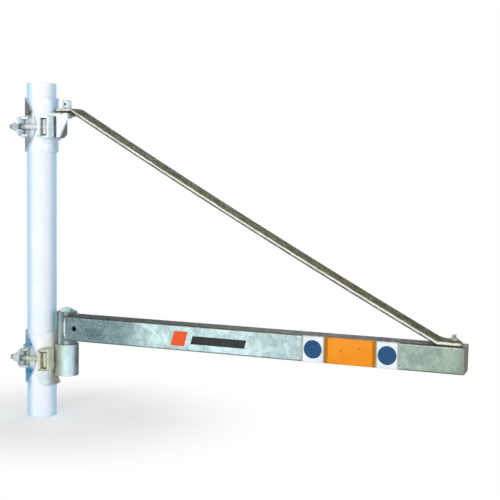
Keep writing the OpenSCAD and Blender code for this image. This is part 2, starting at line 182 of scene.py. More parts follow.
class Finish:
    """A procedural material under construction, with short helpers for its nodes."""

    def __init__(self, name, **shader_values):
        self.material = bpy.data.materials.new(name)
        self.material.use_nodes = True
        self.tree = self.material.node_tree
        self.shader = self.tree.nodes["Principled BSDF"]
        for socket, value in shader_values.items():
            self.shader.inputs[socket.replace("_", " ")].default_value = value
        self.place = self.node("ShaderNodeTexCoord").outputs["Object"]

    def node(self, kind, **inputs):
        """New node, with values or links given by socket name."""
        node = self.tree.nodes.new(kind)
        for socket, value in inputs.items():
            self.give(node.inputs[socket.replace("_", " ")], value)
        return node

    def give(self, socket, value):
        """Links an output or sets a plain value."""
        if isinstance(value, bpy.types.NodeSocket):
            self.tree.links.new(value, socket)
        else:
            socket.default_value = value

    def math(self, operation, a, b=0.0):
        """Sum, product or the like of two values."""
        node = self.tree.nodes.new("ShaderNodeMath")
        node.operation = operation
        self.give(node.inputs[0], a)
        self.give(node.inputs[1], b)
        return node.outputs[0]

    def times(self, a, b):
        """Product of two values."""
        return self.math("MULTIPLY", a, b)

    def vector(self, operation, a, b=(0, 0, 0), result="Vector"):
        """Vector maths on a link and a second link or plain vector."""
        node = self.tree.nodes.new("ShaderNodeVectorMath")
        node.operation = operation
        self.give(node.inputs[0], a)
        self.give(node.inputs[1], b)
        return node.outputs[result]

    def stretch(self, x, y, z):
        """Object coordinates scaled along each axis."""
        node = self.node("ShaderNodeMapping", Vector=self.place, Scale=(x, y, z))
        return node.outputs["Vector"]

    def noise(self, scale, detail=4.0, roughness=0.55, where=None):
        """Cloudy value, mostly between 0.3 and 0.7, with the scale per metre."""
        node = self.node("ShaderNodeTexNoise", Vector=where or self.place, Scale=scale, Detail=detail,
                         Roughness=roughness)
        return node.outputs["Fac"]

    def cells(self, scale):
        """One random grey for each Voronoi cell."""
        node = self.node("ShaderNodeTexVoronoi", Vector=self.place, Scale=scale)
        return self.node("ShaderNodeSeparateColor", Color=node.outputs["Color"]).outputs[0]

    def ramp(self, value, low, high, to_low=0.0, to_high=1.0):
        """Smooth step from to_low, where the value is low, to to_high, where it is high."""
        node = self.node("ShaderNodeMapRange", Value=value)
        node.interpolation_type = "SMOOTHSTEP"
        limits = {"From Min": low, "From Max": high, "To Min": to_low, "To Max": to_high}
        for socket, number in limits.items():
            node.inputs[socket].default_value = number
        return node.outputs["Result"]

    def drift(self, amount, noise):
        """A noise spread between -amount and amount."""
        return self.ramp(noise, 0.3, 0.7, -amount, amount)

    def colours(self, value, stops):
        """Colour ramp through (position, colour) stops."""
        node = self.node("ShaderNodeValToRGB", Fac=value)
        ramp = node.color_ramp
        while len(ramp.elements) < len(stops):
            ramp.elements.new(0.5)
        for element, (position, colour) in zip(ramp.elements, stops):
            element.position = position
            element.color = (*colour, 1)
        return node.outputs["Color"]

    def mix(self, amount, a, b, mode="MIX"):
        """Colour a where amount is 0, colour b where it is 1."""
        node = self.tree.nodes.new("ShaderNodeMix")
        node.data_type = "RGBA"
        node.blend_type = mode
        self.give(node.inputs["Factor"], amount)
        self.give(node.inputs[6], a if isinstance(a, bpy.types.NodeSocket) else (*a, 1))
        self.give(node.inputs[7], b if isinstance(b, bpy.types.NodeSocket) else (*b, 1))
        return node.outputs[2]

    def lighten(self, base, amount):
        """Base colour times 1 + amount."""
        shade = self.math("ADD", amount, 1.0)
        grey = self.node("ShaderNodeCombineColor", Red=shade, Green=shade, Blue=shade).outputs["Color"]
        return self.mix(1.0, base, grey, "MULTIPLY")

    def corners(self, reach):
        """1 in creases nearer than reach, 0 in the open."""
        node = self.node("ShaderNodeAmbientOcclusion", Distance=reach)
        node.samples = 6
        return self.ramp(node.outputs["AO"], 0.85, 0.35)

    def edges(self, reach):
        """1 on sharp outer edges nearer than reach, 0 on flat faces."""
        soft = self.node("ShaderNodeBevel", Radius=reach)
        soft.samples = 6
        flat = self.node("ShaderNodeNewGeometry")
        match = self.vector("DOT_PRODUCT", soft.outputs["Normal"], flat.outputs["Normal"], "Value")
        return self.ramp(match, 0.99, 0.88)

    def colour_spot(self, base, place, reach, colour, strength=0.8, ragged=0.25, fade=0.4):
        """Cloudy spot of colour, used for stains, painted shade and painted highlights; place and reach are
        millimetres along X, Y and Z.
        """
        gap = self.vector("SUBTRACT", self.place, [mm * MM for mm in place])
        scaled = self.vector("MULTIPLY", gap, [1 / (mm * MM) for mm in reach])
        distance = self.vector("LENGTH", scaled, result="Value")
        cloudy = self.math("ADD", distance, self.drift(ragged, self.noise(260.0)))
        return self.mix(self.times(self.ramp(cloudy, 1.0, fade), strength), base, colour)

    def axis(self, name):
        """X, Y or Z of the place on the object."""
        return self.node("ShaderNodeSeparateXYZ", Vector=self.place).outputs[name]

    def facing(self, axis):
        """X, Y or Z of the surface's own normal."""
        normal = self.node("ShaderNodeTexCoord").outputs["Normal"]
        return self.node("ShaderNodeSeparateXYZ", Vector=normal).outputs[axis]

    def surface(self, colour, roughness, height, bump=0.15):
        """Ends the material: colour, roughness and bump over a softly rounded edge."""
        edge = self.node("ShaderNodeBevel", Radius=0.6 * MM)
        edge.samples = 4
        node = self.node("ShaderNodeBump", Strength=bump, Distance=0.4 * MM, Height=height,
                         Normal=edge.outputs["Normal"])
        self.give(self.shader.inputs["Base Color"], colour)
        self.give(self.shader.inputs["Roughness"], roughness)
        self.give(self.shader.inputs["Normal"], node.outputs["Normal"])
        return self.material


def srgb(r, g, b):
    """Linear colour of an 8-bit screen colour."""
    def line(v):
        v /= 255
        return v / 12.92 if v <= 0.04045 else ((v + 0.055) / 1.055) ** 2.4
    return tuple(line(v) for v in (r, g, b))


# Olive mixed into creases: dirt together with painted shade.
GRIME_AND_SHADE = srgb(72, 70, 52)
EDGE = srgb(70, 84, 94)
# Colour that upper faces turn to: a painted shade.
TOP_SHADE = srgb(120, 132, 124)


def zinc_finish(name, pale, dark, top, top_shade_amount, grime_and_shade=0.4, spangle=140.0, metallic=0.2, shine=0.3,
                outline=0.5, colour_spots=(), mottle=1.0, edge=EDGE):
    """Galvanised steel: spangle, cloudy patches, painted shade on upper faces, dark edges, dirt with painted
    shade in creases, and colour spots.

    The patches go from pale to dark, where pale is a colour or a function that shades the piece. Upper faces
    turn to the painted shade top by top_shade_amount, and mottle scales the contrast of the spangle and its
    flecks.
    Each colour spot is a place, a reach, a colour and a strength.
    """
    f = Finish(name, Specular_IOR_Level=shine)
    patches = f.ramp(f.noise(34.0, 5.0, 0.6), 0.35, 0.68)
    if callable(pale):
        base = f.mix(f.times(patches, 0.4), pale(f), dark)
    else:
        base = f.mix(patches, pale, dark)
    flake = f.ramp(f.cells(spangle), 0.0, 1.0, -0.07 * mottle, 0.07 * mottle)
    fleck = f.drift(0.06 * mottle, f.noise(420.0, 3.0))
    base = f.lighten(base, f.math("ADD", flake, fleck))
    # Upper faces turn towards top: painted shade, broken into patches by worn.
    upper = f.times(f.ramp(f.facing("Z"), 0.35, 0.9), top_shade_amount)
    worn = f.ramp(f.noise(150.0, 6.0, 0.7), 0.45, 0.68, 0.0, 0.4)
    base = f.mix(upper, base, f.mix(worn, top, dark))
    for colour_spot in colour_spots:
        base = f.colour_spot(base, *colour_spot)
    base = f.mix(f.times(f.edges(0.9 * MM), outline), base, edge)
    # Creases darkened towards olive: dirt and painted shade.
    base = f.mix(f.times(f.corners(5 * MM), grime_and_shade), base, GRIME_AND_SHADE)
    if metallic:
        f.give(f.shader.inputs["Metallic"], f.times(f.math("SUBTRACT", 1.0, upper), metallic))
    streak = f.noise(1.0, 3.0, where=f.stretch(160, 160, 18))
    satin = f.ramp(f.cells(spangle), 0, 1, 0.46, 0.6)
    roughness = f.math("ADD", satin, f.ramp(streak, 0.3, 0.7, -0.05, 0.07))
    height = f.math("ADD", f.times(f.noise(180.0, 5.0), 0.6), f.times(f.cells(spangle), 0.15))
    return f.surface(base, roughness, height)


def beam_shade(f):
    """Zinc along the beam: dark and rough by the pivot, palest a third of the way along, duller at the tip.

    Its near side has a painted highlight along the upper edge and painted shade along the lower one.
    """
    place = f.ramp(f.axis("X"), 50 * MM, 700 * MM)
    base = f.colours(place, [
        (0.0, srgb(114, 138, 142)), (0.08, srgb(132, 158, 160)), (0.15, srgb(202, 230, 230)),
        (0.3, srgb(204, 230, 230)), (0.5, srgb(198, 222, 224)), (0.85, srgb(172, 196, 190)),
        (1.0, srgb(158, 174, 158))])
    lower_edge = f.times(f.facing("Z"), f.facing("Y"))
    upper_edge = f.times(lower_edge, -1.0)
    # rim: painted highlight along the near side's upper edge.
    rim = f.times(f.ramp(upper_edge, 0.08, 0.3), f.ramp(f.axis("X"), 100 * MM, 400 * MM, 0.1, 0.8))
    base = f.mix(rim, base, srgb(214, 222, 200))
    grain = f.ramp(f.noise(400.0, 4.0, 0.7), 0.36, 0.64, -0.48, 0.48)
    base = f.lighten(base, f.times(grain, f.ramp(f.axis("X"), 170 * MM, 120 * MM)))
    # Painted shade along the near side's lower edge.
    return f.mix(f.ramp(lower_edge, 0.1, 0.35, 0.0, 0.75), base, srgb(78, 92, 88))


def sideways(f):
    """How far the surface faces left as the jib is seen from its near side, -1 to 1."""
    return f.math("SUBTRACT", f.times(f.facing("X"), -0.85), f.times(f.facing("Y"), 0.53))


def left_to_right(f):
    """0 on the left of an upright tube to 1 on its right, seen from the near side."""
    return f.math("ADD", f.times(sideways(f), -0.5), 0.5)


def leaf_shade(shade_colour, light, middle_z, turn):
    """Painted shade colour where a saddle turns left round the pole, light in front and beside the clamp's
    band.
    """
    def shade(f):
        wander = f.math("ADD", sideways(f), f.drift(0.08, f.noise(120.0)))
        level = f.math("ABSOLUTE", f.math("SUBTRACT", f.axis("Z"), middle_z * MM))
        away = f.ramp(level, 10 * MM, 22 * MM, 0.35, 1.0)
        return f.mix(f.times(f.ramp(wander, turn, turn + 0.24), away), light, shade_colour)
    return shade


def shell_shade(f):
    """Base saddle: near white, painted pale blue shade where it turns away to the right."""
    return f.mix(f.ramp(sideways(f), -0.3, -0.85), srgb(246, 251, 254), srgb(182, 222, 250))


def foot_shade(f):
    """Lower base saddle: near white above, blue-grey at its foot, painted brown shade where that turns right.
    """
    foot = f.mix(f.ramp(sideways(f), -0.15, -0.75), srgb(210, 228, 234), srgb(134, 136, 128))
    return f.mix(f.ramp(f.axis("Z"), 84 * MM, 68 * MM), srgb(248, 251, 252), foot)


def socket_shade(f):
    """Socket: greyish cream on its left, pale blue in front as a painted highlight, painted dark grey shade
    where it turns to the right.
    """
    drift = f.drift(0.03, f.noise(1.0, 4.0, where=f.stretch(160, 160, 70)))
    cream, front, blue, dark = srgb(160, 165, 150), srgb(212, 238, 238), srgb(202, 234, 248), srgb(80, 88, 80)
    stops = [(0.12, cream), (0.42, front), (0.7, blue), (0.87, dark)]
    return f.colours(f.math("ADD", left_to_right(f), drift), stops)


def tube_shade(f):
    """Bands down the pivot tube by facing, partly streaks and partly painted light: painted shade on the left
    side, pale, olive and dark blue, a painted highlight by the bead, grey beyond.
    """
    drift = f.drift(0.045, f.noise(1.0, 4.0, where=f.stretch(150, 150, 14)))
    dark, pale, olive = srgb(64, 70, 62), srgb(164, 188, 190), srgb(146, 160, 148)
    blue, bright, grey = srgb(64, 80, 108), srgb(186, 206, 210), srgb(118, 140, 146)
    stops = [(0.0, dark), (0.13, pale), (0.22, olive), (0.33, blue), (0.46, bright), (0.6, grey)]
    return f.colours(f.math("ADD", left_to_right(f), drift), stops)


def shelf_shade(f):
    """Shelf: cream, and pale blue like the clamp where it springs from it."""
    return f.mix(f.ramp(f.axis("X"), 36 * MM, 40 * MM), srgb(232, 246, 252), srgb(248, 250, 238))


def cap_shade(f):
    """End cap: sides like the beam's tip, outer face olive as painted shade."""
    return f.mix(f.ramp(f.facing("X"), 0.5, 0.9), srgb(154, 164, 150), srgb(92, 94, 60))


# The tie bar's thickness and sag, and where its slope begins and ends along X, as in part.scad.
BAR_THICK = 6 * MM
BAR_SAG = 5 * MM
BAR_BEND_X = middle("socket", "x") + 16.5 * MM
BAR_FOOT_X = middle("tip_bolt", "x") - 20.5 * MM


def bar_slope(f):
    """Place on the tie bar: 0 to 1 down its slope, and the height over its middle line in thicknesses."""
    low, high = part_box("tie_bar")
    top, foot = high.z - BAR_THICK / 2, low.z + BAR_THICK / 2
    run = f.math("DIVIDE", f.math("SUBTRACT", f.axis("X"), BAR_BEND_X), BAR_FOOT_X - BAR_BEND_X)
    run = f.math("MINIMUM", f.math("MAXIMUM", run, 0.0), 1.0)
    droop = f.times(f.times(run, f.math("SUBTRACT", 1.0, run)), -4 * BAR_SAG)
    line = f.math("ADD", f.math("ADD", f.times(run, foot - top), top), droop)
    return run, f.math("DIVIDE", f.math("SUBTRACT", f.axis("Z"), line), BAR_THICK)


def bar_edge(f, level):
    """The bar's narrow sides: a pale strip, a painted shadow line below it and olive along the upper corner.
    """
    wander = f.math("ADD", level, f.drift(0.06, f.noise(90.0)))
    pale = f.mix(f.ramp(f.noise(40.0), 0.35, 0.65), srgb(232, 235, 220), srgb(204, 208, 192))
    # Dark band below the pale strip: a painted shadow line.
    side = f.mix(f.ramp(wander, -0.10, -0.27), pale, srgb(66, 68, 74))
    return f.mix(f.ramp(wander, 0.31, 0.49), side, srgb(100, 95, 68))


def bar_face(f, run):
    """The bar's broad upper face: olive-brown clouds with dark specks and painted glints, browner towards the
    tip.
    """
    clouds = f.noise(30.0, 6.0, 0.65)
    face = f.colours(clouds, [(0.3, srgb(58, 48, 36)), (0.48, srgb(92, 84, 58)), (0.6, srgb(112, 108, 82)),
                              (0.75, srgb(138, 138, 112))])
    specks = f.ramp(f.noise(230.0, 3.0, 0.6), 0.46, 0.56, 0.0, 0.9)
    face = f.mix(specks, face, srgb(34, 28, 24))
    # Glints: painted highlights.
    glints = f.ramp(f.noise(260.0, 3.0, 0.6, where=f.stretch(1.4, 1, 1)), 0.52, 0.6, 0.0, 0.6)
    face = f.mix(glints, face, srgb(184, 176, 142))
    tint = f.colours(run, [(0.2, (0.83, 0.98, 0.98)), (0.475, (0.78, 0.85, 0.70)),
                           (0.75, (0.69, 0.70, 0.52)), (0.93, (0.53, 0.55, 0.37))])
    return f.mix(1.0, face, tint, "MULTIPLY")


def bar_finish():
    """Tie bar: olive-brown upper face darkened partly as painted shade, pale near edge with dark lines, brown
    outer end as painted shade.
    """
    f = Finish("bar_zinc", Specular_IOR_Level=0.1)
    run, level = bar_slope(f)
    base = f.mix(f.ramp(f.facing("Z"), 0.3, 0.6), bar_edge(f, level), bar_face(f, run))
    # Faces turned along the bar's end go brown: painted shade.
    base = f.mix(f.ramp(f.facing("X"), 0.55, 0.8), base, srgb(104, 90, 72))
    # The olive and brown spots at the tip are painted shade on the rounded end; the dark one where the bar
    # lies on the shelf is painted shade.
    for place, reach, colour, strength in (
            ((692, -4, 178), (9, 15, 8), srgb(66, 74, 40), 0.7),
            ((70, 0, 503), (24, 26, 12), srgb(44, 36, 30), 0.65),
            ((699, -8, 178), (7, 14, 8), srgb(94, 70, 54), 0.8)):
        base = f.colour_spot(base, place, reach, colour, strength)
    # Creases darkened towards olive: dirt and painted shade.
    base = f.mix(f.times(f.corners(4 * MM), 0.5), base, GRIME_AND_SHADE)
    roughness = f.ramp(f.noise(80.0), 0.3, 0.7, 0.62, 0.82)
    return f.surface(base, roughness, f.noise(220.0, 5.0), 0.25)


def paint_finish():
    """Pale satin paint on the scaffold tube: painted blue shade where it turns away, with clouds, rubs, spots
    of painted shade and painted shade in creases.
    """
    f = Finish("pole_paint", Metallic=0.0, Specular_IOR_Level=0.3)
    clouds = f.ramp(f.noise(14.0, 4.0), 0.3, 0.7)
    base = f.mix(clouds, srgb(246, 250, 254), srgb(234, 244, 253))
    # Both sides turn bluer where the tube turns away: painted shade.
    left = sideways(f)
    base = f.mix(f.ramp(left, 0.5, 0.95, 0.0, 0.8), base, srgb(168, 216, 240))
    right = f.times(left, -1.0)
    base = f.mix(f.ramp(right, 0.4, 0.9, 0.0, 0.85), base, srgb(184, 230, 255))
    rub = f.ramp(f.noise(1.0, 5.0, where=f.stretch(90, 90, 10)), 0.62, 0.8, 0.0, 0.3)
    base = f.mix(rub, base, srgb(196, 210, 222))
    # Blue spots low on the tube's left and grey ones beside the flap saddles: painted shade.
    for place, reach, colour, strength in (
            ((-22, -12, 152), (12, 14, 34), srgb(60, 148, 192), 0.7),
            ((-22, -12, 34), (12, 14, 46), srgb(84, 150, 186), 0.6),
            ((-12, -21, 58), (10, 10, 20), srgb(84, 156, 198), 0.6),
            ((-10, -22, 510), (8, 9, 16), srgb(150, 168, 164), 0.5),
            ((-11, -21, 454), (8, 8, 12), srgb(150, 170, 168), 0.5)):
        base = f.colour_spot(base, place, reach, colour, strength, ragged=0.05, fade=0.0)
    # Creases darkened blue-grey: painted shade where the clamps meet the tube.
    base = f.mix(f.times(f.corners(4 * MM), 0.25), base, srgb(86, 112, 132))
    roughness = f.ramp(f.noise(60.0), 0.3, 0.7, 0.42, 0.55)
    return f.surface(base, roughness, f.noise(140.0, 5.0), 0.08)


def sticker_finish(name, colour, worn, specks=()):
    """Printed film: slight fading, fine scuffs and dirt specks at given places."""
    f = Finish(name, Metallic=0.0, Specular_IOR_Level=0.25)
    fade = f.ramp(f.noise(40.0, 4.0), 0.35, 0.7, 0.0, 0.5)
    base = f.mix(fade, colour, worn)
    scuff = f.ramp(f.noise(1.0, 6.0, where=f.stretch(60, 60, 400)), 0.7, 0.85, 0.0, 0.4)
    base = f.mix(scuff, base, worn)
    for place, radius in specks:
        distance = f.vector("DISTANCE", f.place, place, "Value")
        wobble = f.math("ADD", distance, f.drift(0.6 * MM, f.noise(900.0)))
        base = f.mix(f.ramp(wobble, radius, radius * 0.4), base, srgb(92, 58, 16))
    return f.surface(base, f.ramp(f.noise(200.0), 0.3, 0.7, 0.32, 0.5), f.noise(260.0, 4.0), 0.05)


# ---------------------------------------------------------------- finishes of the CAD nodes

# Heights of the two clamps' middles, in millimetres, for the stains on them.
UPPER_Z = middle("upper_base", "z") / MM
LOWER_Z = middle("lower_base", "z") / MM


def clamp_finishes():
    """Clamp bases and flaps: pale blue on the upper clamp, cream with brown stains on the lower one."""
    upper_spots = (
        ((19, -34, UPPER_Z + 18), (10, 12, 3), srgb(112, 148, 146), 0.7),
        ((22, -40, UPPER_Z - 15), (9, 8, 4), srgb(128, 158, 150), 0.6),
        ((30, -40, UPPER_Z), (6, 12, 16), srgb(206, 226, 218), 0.4))
    lower_spots = (
        ((24, -36, LOWER_Z - 17), (14, 12, 3), srgb(122, 104, 66), 0.8),
        ((20, -40, LOWER_Z + 14), (6, 8, 4), srgb(112, 92, 72), 0.6),
        ((31, -24, LOWER_Z), (6, 14, 18), srgb(214, 212, 188), 0.6))
    lower_flap_stains = (
        ((-18, -44, LOWER_Z + 6), (5, 5, 5), srgb(124, 96, 86), 0.6),
        ((-14, -44, LOWER_Z - 8), (4, 5, 5), srgb(110, 88, 84), 0.6))
    return {
        "upper_base": zinc_finish("upper_clamp_zinc", srgb(240, 250, 254), srgb(214, 234, 242), TOP_SHADE, 0.3,
                                  colour_spots=upper_spots),
        "lower_base": zinc_finish("lower_clamp_zinc", srgb(220, 226, 209), srgb(195, 204, 183), TOP_SHADE, 0.3,
                                  edge=srgb(112, 90, 74), colour_spots=lower_spots),
        "upper_flap": zinc_finish("flap_zinc", srgb(240, 248, 252), srgb(206, 224, 232), TOP_SHADE, 0.3,
                                  outline=0.9, grime_and_shade=0.35),
        "lower_flap": zinc_finish("lower_flap_zinc", srgb(226, 236, 238), srgb(178, 198, 202), TOP_SHADE, 0.3,
                                  outline=0.9, edge=srgb(64, 88, 108), colour_spots=lower_flap_stains),
    }


def leaf_finish(name, shade_colour, light, z, turn):
    """Flap saddle: pale, with painted shade only where it turns away round the pole."""
    return zinc_finish(name, leaf_shade(shade_colour, light, z, turn), light, shade_colour, 0.2, outline=0.0, grime_and_shade=0.0,
                       metallic=0.0, shine=0.1)


def saddle_finishes():
    """Saddles that bear on the pole: the bases' on the jib's side, the flaps' on the other."""
    upper_spots = (
        # Blue on the upper base saddle's right: painted shade.
        ((28, 4, UPPER_Z + 30), (8, 16, 26), srgb(164, 204, 230), 0.7),
        ((28, 4, UPPER_Z - 30), (8, 16, 20), srgb(176, 198, 212), 0.7))
    lower_spots = (
        # The brown one at the foot's right is painted shade.
        ((29, -6, LOWER_Z - 34), (12, 18, 16), srgb(104, 98, 82), 0.3),
        ((16, -24, LOWER_Z + 32), (12, 12, 16), srgb(236, 234, 224), 0.4))
    # Colours of the flap saddles' painted shade.
    shade_grey, shade_blue = srgb(76, 86, 80), srgb(0, 112, 158)
    return {
        "upper_base_saddle": zinc_finish("upper_shell_zinc", shell_shade, srgb(226, 240, 252), TOP_SHADE, 0.3,
                                         outline=0.05, grime_and_shade=0.2, colour_spots=upper_spots),
        "lower_base_saddle": zinc_finish("lower_shell_zinc", foot_shade, srgb(240, 245, 246), TOP_SHADE, 0.3,
                                         outline=0.05, grime_and_shade=0.2, mottle=0.5, colour_spots=lower_spots),
        "upper_flap_saddle": leaf_finish("upper_leaf_zinc", shade_grey, srgb(232, 243, 251), UPPER_Z, 0.42),
        "lower_flap_saddle": leaf_finish("lower_leaf_zinc", shade_blue, srgb(232, 244, 251), LOWER_Z, 0.34),
    }


def fastener_finishes():
    """Bolts and the tip nut: finer spangle and more shine than the plates."""
    bolt = zinc_finish("bolt_zinc", srgb(216, 218, 220), srgb(176, 182, 186), srgb(150, 156, 152), 0.3,
                       spangle=400.0, metallic=0.35, shine=0.5)
    return {
        "upper_t_bolt": bolt,
        "tip_bolt": bolt,
        "lower_t_bolt": zinc_finish("lower_bolt_zinc", srgb(222, 216, 176), srgb(190, 196, 172),
                                    srgb(150, 156, 132), 0.3, spangle=400.0, metallic=0.3, shine=0.5),
        "tip_nut": zinc_finish("tip_nut_zinc", srgb(232, 228, 212), srgb(140, 134, 112), srgb(150, 144, 124),
                               0.5, spangle=500.0, metallic=0.3, shine=0.5, outline=0.8,
                               edge=srgb(72, 66, 54)),
    }


def bracket_finishes():
    """Upper bracket: cream shelf, pale rib, pad painted dark as shade, and the pin that carries the tie bar.
    """
    shelf_spots = (
        # The dark spot at the shelf's end is a painted shadow of the tie bar.
        ((60, -8, UPPER_Z + 20), (5, 14, 5), srgb(84, 88, 72), 0.8),
        ((46, -17, UPPER_Z + 22), (6, 4, 3), srgb(122, 114, 92), 0.6))
    # Painted shade: a blue strip on the rib beside the pad, and a dark spot on the pad.
    rib_painted_shade = (((36, -17, UPPER_Z), (3, 4, 20), srgb(172, 204, 224), 0.7),)
    pad_painted_shade = (((37, -10, UPPER_Z - 14), (4, 9, 6), srgb(84, 104, 120), 0.7),)
    return {
        "bracket_shelf": zinc_finish("shelf_zinc", shelf_shade, srgb(234, 236, 220), srgb(126, 126, 96), 0.7,
                                     colour_spots=shelf_spots),
        "bracket_gusset": zinc_finish("rib_zinc", srgb(252, 253, 255), srgb(238, 243, 252), TOP_SHADE, 0.2,
                                      outline=0.8, colour_spots=rib_painted_shade),
        # The pad's colours are dark as painted shade.
        "bracket_pad": zinc_finish("pad_zinc", srgb(96, 123, 138), srgb(72, 95, 110), TOP_SHADE, 0.4,
                                   outline=0.8, colour_spots=pad_painted_shade),
        "top_pin": zinc_finish("pin_zinc", srgb(226, 244, 252), srgb(192, 214, 222), srgb(172, 184, 184), 0.4,
                               outline=0.8),
    }


def beam_finishes():
    """Beam and its end cap: mottled grey sides, nearly black upper face as painted shade."""
    beam_stains = (
        ((108, -20, 148), (24, 6, 12), srgb(84, 100, 102), 0.6),
        ((66, -20, 168), (18, 8, 6), srgb(106, 112, 88), 0.35),
        ((640, -20, 150), (30, 6, 14), srgb(130, 148, 138), 0.5))
    cap_stains = (((703, -14, 137), (2, 5, 5), srgb(176, 178, 150), 0.6),)
    return {
        "beam": zinc_finish("beam_zinc", beam_shade, srgb(112, 132, 132), srgb(34, 34, 36), 0.96,
                            shine=0.05, outline=0.35, mottle=1.9, colour_spots=beam_stains),
        "end_cap": zinc_finish("cap_zinc", cap_shade, srgb(120, 128, 108), srgb(60, 64, 50), 0.9,
                               shine=0.15, metallic=0.1, colour_spots=cap_stains),
    }


def pivot_finishes():
    """Lower pivot: socket, tube streaked partly with painted light, and the domed head of the spigot."""
    dome_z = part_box("spigot")[1].z / MM
    tube_stains = (
        ((38, -13, 136), (7, 6, 7), srgb(134, 112, 80), 0.6),
        ((60, -12, 172), (16, 10, 6), srgb(80, 74, 52), 0.8))
    dome_shade_and_highlight = (
        # Darker at the dome's two sides: painted shade; the white spot is a painted highlight.
        ((61, -2, dome_z - 4), (7, 16, 7), srgb(92, 122, 126), 0.85),
        ((34, -6, dome_z - 4), (6, 12, 7), srgb(104, 136, 138), 0.8),
        ((45, -13, dome_z - 6), (4, 5, 3), srgb(250, 252, 250), 0.9))
    return {
        "pivot_tube": zinc_finish("tube_zinc", tube_shade, srgb(104, 122, 126), srgb(92, 96, 80), 0.6,
                                  mottle=1.4, colour_spots=tube_stains),
        "socket": zinc_finish("socket_zinc", socket_shade, srgb(170, 190, 190), srgb(140, 140, 100), 0.7,
                              mottle=0.6),
        "spigot": zinc_finish("dome_zinc", srgb(206, 240, 238), srgb(170, 206, 202), srgb(196, 234, 230), 0.4,
                              shine=0.5, grime_and_shade=0.8, colour_spots=dome_shade_and_highlight),
    }


def dress_nodes():
    """Gives every CAD node its finish, and returns the special ones by the node's name."""
    special = {"pole": paint_finish(), "tie_bar": bar_finish(), **clamp_finishes(), **saddle_finishes(),
               **fastener_finishes(), **bracket_finishes(), **beam_finishes(), **pivot_finishes()}
    nut = zinc_finish("nut_zinc", srgb(200, 216, 222), srgb(150, 172, 180), srgb(130, 144, 140), 0.3,
                      spangle=400.0, metallic=0.35, shine=0.5, outline=0.8)
    for name, node in NODES.items():
        node.data.materials.clear()
        node.data.materials.append(special.get(name, nut))
    return special


# ---------------------------------------------------------------- meshes made here

def add_mesh(name, points, faces, finish, body, smooth=True):
    """New piece that rides on a CAD body."""
    mesh = bpy.data.meshes.new(name)
    mesh.from_pydata(points, [], faces)
    mesh.materials.append(finish)
    if smooth:
        mesh.polygons.foreach_set("use_smooth", [True] * len(mesh.polygons))
    piece = bpy.data.objects.new(name, mesh)
    bpy.context.scene.collection.objects.link(piece)
    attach(piece, body)
    return piece


def arc(centre, radius, start, end, z, steps=24):
    """Points on a level arc, angles in degrees."""
    turns = [math.radians(start + (end - start) * i / steps) for i in range(steps + 1)]
    return [Vector((centre[0] + radius * math.cos(a), centre[1] + radius * math.sin(a), z)) for a in turns]


def resample(points, step):
    """Points at even steps along a line of points."""
    spots = [points[0]]
    left = step
    for a, b in zip(points, points[1:]):
        length = (b - a).length
        done = 0.0
        while length - done >= left:
            done += left
            spots.append(a.lerp(b, done / length))
            left = step
        left -= length - done
    return spots


def bead_tube(points, radius, closed=False, pitch=2.2 * MM, sides=10):
    """Weld bead along a line: a round tube whose width swells with each ripple, five rings to a ripple."""
    rings_per_ripple = 5
    spots = resample(points, pitch / rings_per_ripple)
    if closed and (spots[0] - spots[-1]).length < pitch / 10:
        spots.pop()
    rings = []
    count = len(spots)
    drift = random.random() * 6
    for i, spot in enumerate(spots):
        before = spots[i - 1] if i or closed else spots[0]
        after = spots[(i + 1) % count] if i < count - 1 or closed else spots[-1]
        ahead = (after - before).normalized()
        across = ahead.orthogonal().normalized()
        if abs(ahead.z) < 0.9:
            across = ahead.cross(Vector((0, 0, 1))).normalized()
        rise = across.cross(ahead).normalized()
        ripple = 1 + 0.10 * abs(math.sin(math.pi * i / rings_per_ripple)) + 0.07 * math.sin(0.13 * i + drift)
        if not closed:
            ripple *= min(1.0, 0.45 + 0.15 * min(i, count - 1 - i))
        rings.append([spot + radius * ripple * (math.cos(a) * across + math.sin(a) * rise)
                      for a in (2 * math.pi * k / sides for k in range(sides))])
    points = [p for ring in rings for p in ring]
    faces = []
    for i in range(count if closed else count - 1):
        j = (i + 1) % count
        for k in range(sides):
            m = (k + 1) % sides
            faces.append((i * sides + k, i * sides + m, j * sides + m, j * sides + k))
    if not closed:
        faces.append(tuple(range(sides))[::-1])
        faces.append(tuple((count - 1) * sides + k for k in range(sides)))
    return points, faces


def weld(name, points, radius, body, finish, closed=False):
    """Weld bead as a piece of its own."""
    verts, faces = bead_tube(points, radius, closed)
    add_mesh(name, verts, faces, finish, body)


def thread(name, start, along, length, radius, pitch, body, finish):
    """Helical ridge of a screw thread standing a little proud of a plain shank."""
    along = Vector(along).normalized()
    across = along.orthogonal().normalized()
    other = along.cross(across)
    steps = 24
    count = int(length / pitch * steps)
    depth = 0.16 * pitch
    profile = ((-0.42, -0.10), (-0.08, 1.0), (0.08, 1.0), (0.42, -0.10))  # shift in pitches, height in depths
    points = []
    for i in range(count + 1):
        a = 2 * math.pi * i / steps
        fade = min(1.0, i / steps, (count - i) / steps)
        out = math.cos(a) * across + math.sin(a) * other
        for shift, high in profile:
            reach = radius + (high if high < 0 else high * fade) * depth
            points.append(Vector(start) + out * reach + along * pitch * (i / steps + shift))
    size = len(profile)
    faces = [(i * size + k, i * size + (k + 1) % size, (i + 1) * size + (k + 1) % size, (i + 1) * size + k)
             for i in range(count) for k in range(size)]
    faces += [tuple(range(size))[::-1], tuple(count * size + k for k in range(size))]
    add_mesh(name, points, faces, finish, body)


# ---------------------------------------------------------------- welds

